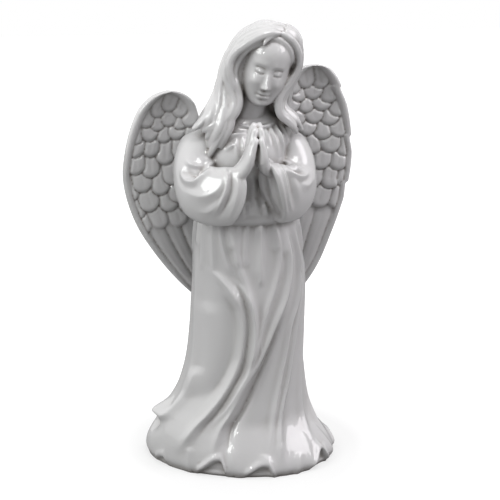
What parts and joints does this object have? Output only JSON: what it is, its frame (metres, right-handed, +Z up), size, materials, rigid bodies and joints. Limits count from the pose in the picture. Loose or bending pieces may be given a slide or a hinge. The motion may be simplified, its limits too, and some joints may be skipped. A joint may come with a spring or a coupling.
{
  "type": "praying angel figurine",
  "caption": "Standing winged angel in a long gown with wide sleeves, palms together and head bowed, cast in one piece of white glazed porcelain on a flat underside.",
  "frame": {"origin": "on the floor, in the flat underside, below the figure's waist", "axes": "+Z up along the figure's height; the chest faces -Y; +X is on the viewer's right"},
  "size_m": [0.1086, 0.067, 0.1997],
  "materials": {
    "white_glaze": "glossy transparent glaze over white porcelain, darker and softer where it pools in the carving"
  },
  "bodies": {
    "root": {"angel_figurine": "white_glaze"}
  },
  "joints": []
}
